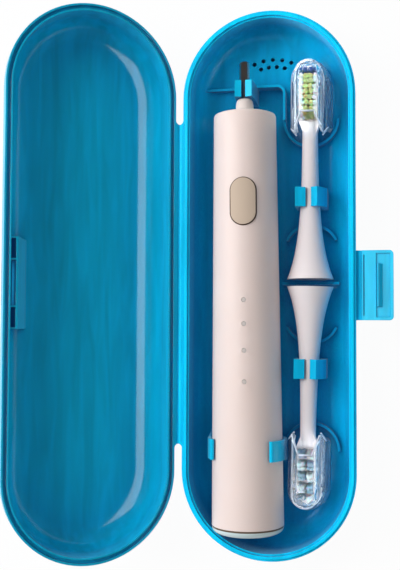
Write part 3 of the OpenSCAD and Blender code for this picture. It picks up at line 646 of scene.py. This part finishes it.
def bristle_field(name, head, colour_of, height_of, closing):
    """All tufts of one head. closing is how far the tips of two by two tufts draw together in a dome."""
    chance = random.Random(7 if head > 0 else 11)
    mesh = bmesh.new()
    for row in range(ROWS):
        for column in range(COLUMNS):
            centre_x = (column - (COLUMNS - 1) / 2) * COLUMN_PITCH + (STAGGER if row % 2 == 0 else -STAGGER)
            centre_y = FIELD_AT + row * ROW_PITCH
            block_x = (0.5 if column % 2 == 0 else -0.5) * COLUMN_PITCH
            block_y = (0.5 if row % 2 == 0 else -0.5) * ROW_PITCH
            slot = list(NYLON).index(colour_of(row, column))
            off_x = STRAY * (chance.random() - 0.5)
            off_y = STRAY * (chance.random() - 0.5)
            height = height_of(row, column) - STRAY * chance.random()
            for dx, dy in tuft_offsets():
                lean = 1 + LEAN + LEAN * chance.random()
                rise = height - TIP_DROP * chance.random() - TIP_DROP * (dx * dx + dy * dy)
                rise -= closing * ((block_x - dx) ** 2 + (block_y - dy) ** 2)
                tip_x = centre_x + off_x + dx * lean + closing * (block_x - dx)
                tip_y = centre_y + off_y + dy * lean + closing * (block_y - dy)
                foot = Vector((centre_x + dx, centre_y + dy, PLATE_TOP - ROOT))
                tip = Vector((tip_x, tip_y, PLATE_TOP + rise))
                filament(mesh, foot * MM, tip * MM, slot)
    made = as_piece(name, mesh, nylons)
    made.matrix_world = head_frame(head)
    return made


print("tufts on each head:", ROWS * COLUMNS)

# %% [markdown]
# The two heads differ. The upper one is nearly even on top, with green tufts in the middle
# and a blue row at its tip. The lower one has blocks of two by two tufts. The tips of each
# block draw together in a dome, and every other block stands more than a millimetre
# higher, in a paler nylon. The grey-blue of the lower tufts between them is painted shade.

# %% How the heads' tufts are set
TALL, SHORT, ROW_DIP, SIDE_DIP = 8.9, 7.5, 0.3, 0.4


def upper_height(row, column):
    """Nearly even, a little lower in every other row and along the sides."""
    return TALL - (0 if row % 2 == 0 else ROW_DIP) - (SIDE_DIP if column in (0, COLUMNS - 1) else 0)


def upper_colour(row, column):
    """Blue in the last row, green in the middle, white along the sides."""
    if row == ROWS - 1:
        return "blue"
    return "green" if column in (1, 2) else "white"


def in_tall_block(row, column):
    """True for the taller blocks of two by two tufts, which zigzag along the lower head."""
    return (row // 2 + column // 2) % 2 == 0


def lower_height(row, column):
    """The taller blocks stand over a millimetre above the rest."""
    return TALL if in_tall_block(row, column) else SHORT


def lower_colour(row, column):
    """Pearl on the taller blocks, grey on the rest, where the grey-blue is painted shade."""
    return "pearl" if in_tall_block(row, column) else "grey"


print("upper row 0 in mm:", [upper_height(0, column) for column in range(COLUMNS)])

# %% The two heads' bristles
upper_field = bristle_field("upper_tufts", 1, upper_colour, upper_height, 0.05)
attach(upper_field, "upper_head")
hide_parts("upper_bristles")
lower_field = bristle_field("lower_tufts", -1, lower_colour, lower_height, 0.32)
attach(lower_field, "lower_head")
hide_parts("lower_bristles")
print("filaments:", 2 * ROWS * COLUMNS * FILAMENTS)

# %% [markdown]
# ## Living hinges
# The lid and the latch each fold on a thin web moulded in one piece with both sides. In
# the CAD model a bead marks each fold line. Here a real web takes its place: a strip half
# a millimetre thick that follows the base at one edge and the lid or latch at the other.
# Its section is a short path of points, so that it sags a little between the two edges.


# %% A strip along a fold line
WEB_THICK = 0.5


def web(name, node, path):
    """A strip as long as the CAD node. path gives its section as x and z, in millimetres."""
    ends = [corner.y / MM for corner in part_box(node)]
    mesh = bmesh.new()
    loops = []
    for i, (x, z) in enumerate(path):
        before, after = path[max(i - 1, 0)], path[min(i + 1, len(path) - 1)]
        along = Vector((after[0] - before[0], 0, after[1] - before[1])).normalized()
        up = Vector((along.z, 0, -along.x)) * WEB_THICK / 2
        if up.z < 0:
            up.negate()
        corners = [Vector((x, y, z)) + side * up for y in ends for side in (1, -1)]
        loops.append([mesh.verts.new(corners[k] * MM) for k in (0, 1, 3, 2)])
    for one, two in zip(loops, loops[1:]):
        for i in range(4):
            mesh.faces.new((one[i], one[(i + 1) % 4], two[(i + 1) % 4], two[i]))
    mesh.faces.new(loops[0])
    mesh.faces.new(loops[-1][::-1])
    bmesh.ops.recalc_face_normals(mesh, faces=mesh.faces)
    made = as_piece(name, mesh, [lid_polypropylene])
    return made


# %% The lid's web
FOLD_X, FOLD_Z, OPEN_TO, LID_BEND = -35.5, 18.5, math.radians(145), 0.65
lid_cos, lid_sin = math.cos(OPEN_TO), math.sin(OPEN_TO)
base_side = [(0.95, -0.5), (LID_BEND, -0.5), (0.35, -0.56), (0.1, -0.66)]
lid_side = [(lid_cos * x + lid_sin * z, lid_sin * x - lid_cos * z) for x, z in reversed(base_side)]
lid_web = web("lid_web", "living_hinge", [(FOLD_X + x, FOLD_Z + z) for x, z in base_side + lid_side])
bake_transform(lid_web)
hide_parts("living_hinge")

# %% The latch's web
LATCH_X, LATCH_Z, LATCH_BEND = 35.65, 16.5, 0.5
half = [(0.2, 0.02), (LATCH_BEND, 0.1), (0.85, 0.1)]
both_halves = [(-x, z) for x, z in reversed(half)] + half
latch_web = web("latch_web", "latch_hinge", [(LATCH_X + x, LATCH_Z + z) for x, z in both_halves])
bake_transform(latch_web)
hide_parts("latch_hinge")

# %% [markdown]
# ## Beads on exact edges
# Two edges need more than a cut in a plate. The caps' mouths have a rolled lip, drawn as a
# pale opaque rod: its colour is a painted highlight for the whitest line on a cap. Round
# the button, a dark brown rod is painted shade in the gap between button and handle. A
# modifier could thicken marked edges, but nothing may be marked in an exact mesh. So the
# code looks for the edges by where they lie, and lays a rod of its own along each.


# %% Lay a bead along edges
def rod(mesh, low, high, radius):
    """Adds a rod from low to high, a little longer than the way, so that rods meet round a bend."""
    along = high - low
    turn = Vector((0, 0, 1)).rotation_difference(along).to_matrix().to_4x4()
    bmesh.ops.create_cone(
        mesh,
        cap_ends=True,
        segments=8,
        radius1=radius * MM,
        radius2=radius * MM,
        depth=(along.length + radius) * MM,
        matrix=Matrix.Translation((low + high) / 2 * MM) @ turn,
    )


def bead(name, part, space, wanted, radius, finish):
    """Rods along each edge of the part whose two ends and two faces are wanted, seen from a space."""
    source = bmesh.new()
    source.from_mesh(part.data)
    source.transform(space.inverted() @ part.matrix_world)
    bmesh.ops.remove_doubles(source, verts=source.verts, dist=WELD)
    source.normal_update()
    mesh = bmesh.new()
    for edge in source.edges:
        low, high = (v.co / MM for v in edge.verts)
        normals = [face.normal for face in edge.link_faces]
        if len(normals) == 2 and wanted(low, high, normals):
            rod(mesh, low, high, radius)
    source.free()
    for face in mesh.faces:
        face.smooth = len(face.verts) == 4
    made = as_piece(name, mesh, [finish])
    made.matrix_world = space
    return made


# %% [markdown]
# A cap's mouth is cut in two straight lines on each side, which meet in a point. They are
# given as seen from above, from the head's own place: how far out, and how far along.

# %% The caps' rolled lips
LIP_R, LIP_LOWEST, ON_LINE, SPARE, UPRIGHT = 0.3, -4.5, 0.03, 0.02, 0.02
MOUTH = ((8.5, 61.2), (5.2, 56.8), (2.6, 64.2))
# The lip's pale opaque colour is a painted highlight on the clear cap.
lip_painted_highlight = moulded("cap_lip_painted_highlight", "#E3EAF6", 0.25)


def on_mouth(point):
    """Which of the mouth's cuts a point lies on, 1 or 2, or 0 for none."""
    for cut, (start_at, end_at) in enumerate(zip(MOUTH, MOUTH[1:]), 1):
        along = Vector(end_at) - Vector(start_at)
        off = Vector((abs(point.x), point.y)) - Vector(start_at)
        share = off.dot(along) / along.length_squared
        if abs(off.cross(along)) / along.length < ON_LINE and -SPARE < share < 1 + SPARE:
            return cut
    return 0


def lip_edge(low, high, normals):
    """An edge where a cut meets the cap's skin, above the skin's foot."""
    cut = on_mouth(low)
    both_upright = all(abs(n.z) < UPRIGHT for n in normals)
    return cut > 0 and cut == on_mouth(high) and min(low.z, high.z) > LIP_LOWEST and not both_upright


for side, head in (("upper", 1), ("lower", -1)):
    cap = nodes[side + "_head_cap"]
    lip = bead(side + "_cap_lip", cap, head_frame(head), lip_edge, LIP_R, lip_painted_highlight)
    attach(lip, side + "_cap")

# %% The bead round the button
RING_R, BESIDE, SIDEWAYS, UPWARD = 0.26, 0.5, 0.2, 0.5
# Painted shade: this dark brown rod stands for the shade in the gap round the button.
gap_shade_brown = moulded("brown_painted_gap_shade", "#54382A", 0.55, 1.48)
button_low, button_high = (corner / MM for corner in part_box("power_button"))
button_middle = (button_low + button_high) / 2
button_reach = (button_high - button_low) / 2 + Vector((BESIDE, BESIDE, 0))


def opening_edge(low, high, normals):
    """An edge where the handle's skin meets the wall of the button's opening."""
    away = [point - button_middle for point in (low, high)]
    near = all(abs(a.x) < button_reach.x and abs(a.y) < button_reach.y for a in away)
    return near and min(n.z for n in normals) < SIDEWAYS and max(n.z for n in normals) > UPWARD


ring = bead("button_gap_shade_rod", nodes["handle_housing"], Matrix(), opening_edge, RING_R, gap_shade_brown)
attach(ring, "handle")

# %% [markdown]
# ## The floor
# The photograph is a product shot on pure white. The floor is a pale sheet. To the
# camera, and in reflections, it shows mostly as white, and keeps a trace of the object's
# shadow. Right under the case no light gets in, so there the sheet shows as it is lit,
# and its own colour there is painted dark blue as a painted shadow. Both make the vents
# dark.

# %% How far a place is outside the case
STRAIGHT, SHADE_FROM, SHADE_TO, WHITE_SHARE = 73.5 * MM, 27 * MM, 31 * MM, 0.96

bpy.ops.mesh.primitive_plane_add(size=6, location=(0, 0, -0.2 * MM))
floor = bpy.context.object
floor.name = "floor"
paper, tree, shader = start("white_paper", {"Roughness": 0.9})
place = add(tree, "ShaderNodeTexCoord")
apart = add(tree, "ShaderNodeSeparateXYZ", {"Vector": place.outputs["Object"]})
away = add(tree, "ShaderNodeMath", {0: apart.outputs["Y"]}, operation="ABSOLUTE")
past = add(tree, "ShaderNodeMath", {0: away.outputs[0], 1: STRAIGHT}, operation="SUBTRACT")
beyond = add(tree, "ShaderNodeMath", {0: past.outputs[0], 1: 0.0}, operation="MAXIMUM")
flat = add(tree, "ShaderNodeCombineXYZ", {"X": apart.outputs["X"], "Y": beyond.outputs[0]})
radius = add(tree, "ShaderNodeVectorMath", {0: flat.outputs[0]}, operation="LENGTH")
outside = add(
    tree,
    "ShaderNodeMapRange",
    {
        "Value": radius.outputs["Value"],
        "From Min": SHADE_FROM,
        "From Max": SHADE_TO,
        "To Min": 0.0,
        "To Max": WHITE_SHARE,
    },
)
print("floor: 6 m of pale paper, dark within", SHADE_FROM / MM, "mm of the base's middle line")

# %% A pale floor, painted dark blue under the case as a painted shadow
painted_shadow_under_case = add(tree, "ShaderNodeValToRGB", {"Fac": outside.outputs[0]})
# Painted shadow: dark blue under the case, pale paper beyond.
painted_shadow_under_case.color_ramp.elements[0].color = linear("#35587F")
painted_shadow_under_case.color_ramp.elements[1].position = 0.9
painted_shadow_under_case.color_ramp.elements[1].color = linear("#EFEFEF")
feed(tree, shader, {"Base Color": painted_shadow_under_case.outputs[0]})
glow = add(tree, "ShaderNodeEmission", {"Color": (1, 1, 1, 1), "Strength": 1.0})
rays = add(tree, "ShaderNodeLightPath")
mirrored = {0: rays.outputs["Is Camera Ray"], 1: rays.outputs["Is Glossy Ray"]}
seen = add(tree, "ShaderNodeMath", mirrored, operation="MAXIMUM")
refracted = {0: seen.outputs[0], 1: rays.outputs["Is Transmission Ray"]}
seen = add(tree, "ShaderNodeMath", refracted, operation="MAXIMUM")
share = add(tree, "ShaderNodeMath", {0: seen.outputs[0], 1: outside.outputs[0]}, operation="MULTIPLY")
shown = {0: share.outputs[0], 1: shader.outputs[0], 2: glow.outputs[0]}
show(tree, add(tree, "ShaderNodeMixShader", shown))
floor.data.materials.append(paper)
floor.visible_shadow = False
print("floor: shows as white in a share of", WHITE_SHARE)

# %% [markdown]
# ## The light
# The studio has white walls and a dark ceiling, where the camera hangs. So the world is
# bright near the horizon and dim overhead. Light from the sides reaches the tray's walls,
# and its floors, which face the ceiling, keep a deep colour. The camera sees the world as
# white, also through the clear caps. Mirrored in gloss the world is nearly black, so that
# only the lamps below leave a reflection.

# %% The world
WALLS, CEILING, MIRRORED_LEVEL = (0.6076, 0.62, 0.6262, 1), (0.14, 0.145, 0.15, 1), 0.06

scene = bpy.context.scene
scene.world = bpy.data.worlds.new("studio")
scene.world.use_nodes = True
tree = scene.world.node_tree
tree.nodes.clear()
place = add(tree, "ShaderNodeTexCoord")
apart = add(tree, "ShaderNodeSeparateXYZ", {"Vector": place.outputs["Generated"]})
level = add(tree, "ShaderNodeValToRGB", {"Fac": apart.outputs["Z"]})
level.color_ramp.elements[0].position = 0.0
level.color_ramp.elements[0].color = (0, 0, 0, 1)
level.color_ramp.elements[1].position = 0.62
level.color_ramp.elements[1].color = CEILING
for height in (0.02, 0.34):
    level.color_ramp.elements.new(height).color = WALLS
walls = add(tree, "ShaderNodeBackground", {"Color": level.outputs[0], "Strength": 1.0})
dark = add(tree, "ShaderNodeBackground", {"Color": (1, 1, 1, 1), "Strength": MIRRORED_LEVEL})
white = add(tree, "ShaderNodeBackground", {"Color": (1, 1, 1, 1), "Strength": 1.0})
rays = add(tree, "ShaderNodeLightPath")
lit = {0: rays.outputs["Is Glossy Ray"], 1: walls.outputs[0], 2: dark.outputs[0]}
gloss = add(tree, "ShaderNodeMixShader", lit)
straight = {0: rays.outputs["Is Camera Ray"], 1: rays.outputs["Is Transmission Ray"]}
clear = add(tree, "ShaderNodeMath", straight, operation="MAXIMUM")
seen = add(tree, "ShaderNodeMixShader", {0: clear.outputs[0], 1: gloss.outputs[0], 2: white.outputs[0]})
add(tree, "ShaderNodeOutputWorld", {"Surface": seen.outputs[0]})
print("world: white walls, dim ceiling")

# %% [markdown]
# Each lamp is a soft rectangle. Light linking says which pieces a lamp reaches. A lamp that
# is only seen mirrored is given by how bright its face is, from which its watts follow.


# %% Make a lamp
def lamp(name, place, aim, size, power):
    """A soft rectangular lamp that shines from place towards aim."""
    data = bpy.data.lights.new(name, "AREA")
    data.shape = "RECTANGLE"
    data.size, data.size_y = size
    data.energy = power
    made = bpy.data.objects.new(name, data)
    made.location = place
    made.rotation_euler = (Vector(aim) - Vector(place)).to_track_quat("-Z", "Y").to_euler()
    scene.collection.objects.link(made)
    return made


def reaches(lamp_made, pieces):
    """Links the lamp to the pieces that it lights."""
    group = bpy.data.collections.new("lit by " + lamp_made.name)
    for piece in pieces:
        group.objects.link(piece)
    lamp_made.light_linking.receiver_collection = group


def mirror_lamp(name, place, aim, size, brightness, names):
    """A lamp that lights nothing and is only seen mirrored, in the named parts."""
    made = lamp(name, place, aim, size, brightness * math.pi * size[0] * size[1])
    made.visible_diffuse = False
    reaches(made, [nodes[part] for part in names.split()])
    print(name, round(made.data.energy, 2), "W, seen in", names)


# %% [markdown]
# A large window on the left is the main light. It is soft, because it is wide for its
# distance. Its own mirror image would lie across the whole case, so it gives no glare.
# Four lamps make the reflections instead. The strip draws the long sharp streak on the
# lid's rounded side, and the sheen brightens the latch. The pane is a dim window, seen in
# the base, the clips, the handle and the caps. The glare draws bright lines on the caps.

# %% The window and the four reflections
window = lamp("window", (-0.8, 0.3, 0.79), (0, 0, 0), (0.7, 1.2), 16.6)
window.visible_glossy = False
mirror_lamp("strip", (0.135, 0.03, 0.75), (0.135, 0.03, 0), (0.57, 0.62), 5.6, "lid_shell")
mirror_lamp("sheen", (0.1, 0.03, 0.75), (0.1, 0.03, 0), (0.5, 0.6), 1.8, "latch_flap")
in_pane = "base_shell support_ribs handle_housing " + CLIPS + " " + CAPS
mirror_lamp("pane", (-0.74, 0.25, 0.7), (0, 0, 0), (0.45, 1.0), 2.0, in_pane)
mirror_lamp("glare", (0.5, -0.2, 0.6), (0, 0, 0), (0.3, 0.9), 6.0, CAPS)

# %% [markdown]
# In a white room light comes back from everywhere. Three more lamps stand for that, and
# none is seen mirrored. The fill hangs overhead, and lifts the ribs, the clips, the latch
# and the webs. The wash and the answer stand low on both sides, and light the base's
# walls. Only the base itself shades them, because in a real room such light would find
# its way round the lid and the handle.

# %% Three lamps for the room's own light
fill = lamp("fill", (0.0, 0.0, 0.8), (0.02, 0, 0), (0.6, 0.7), 1.7)
raised = [nodes[part] for part in ("support_ribs latch_flap " + CLIPS).split()]
reaches(fill, raised + [lid_web, latch_web])
wash = lamp("wash", (-0.9, 0.1, 0.26), (0.03, 0, 0.01), (0.3, 0.8), 11.5)
answer = lamp("answer", (0.9, 0.1, 0.26), (-0.03, 0, 0.01), (0.3, 0.8), 5.4)
shading = bpy.data.collections.new("shades the side lamps")
shading.objects.link(nodes["base_shell"])
for side_lamp in (wash, answer):
    reaches(side_lamp, [nodes["base_shell"], lid_web, latch_web])
    side_lamp.light_linking.blocker_collection = shading
for room_lamp in (fill, wash, answer):
    room_lamp.visible_glossy = False
print("lamps in watts:", [(made.name, made.data.energy) for made in (window, fill, wash, answer)])

# %% [markdown]
# ## The camera
# The photograph was taken from above with a normal lens. Its place was found by fitting the
# outline of both halves, the vents and the ribs to the picture: the camera is 0.36 m above
# the table, a little to the right of the middle. The same fit gave the focal length, as
# a number of the picture's pixels, and a slight roll.

# %% Place the camera
EYE = Vector((44.805, -16.313, 362.974)) * MM
AIM = Vector((-26.909, -0.853, 18.5)) * MM
FOCAL_PIXELS, PICTURE_HIGH, ROLL = 889.432, 570, 0.004

forward = (AIM - EYE).normalized()
right = forward.cross(Vector((0, 1, 0))).normalized()
up = right.cross(forward)
turn = Matrix.Rotation(-ROLL, 3, forward)
camera = bpy.data.objects.new("camera", bpy.data.cameras.new("camera"))
scene.collection.objects.link(camera)
axes = Matrix((turn @ right, turn @ up, -forward)).transposed()
camera.matrix_world = Matrix.Translation(EYE) @ axes.to_4x4()
camera.data.sensor_width = 36
camera.data.lens = FOCAL_PIXELS / PICTURE_HIGH * camera.data.sensor_width
camera.data.clip_start = 10 * MM
scene.camera = camera
scene.view_settings.view_transform = "Standard"
print("lens in mm:", round(camera.data.lens, 2))
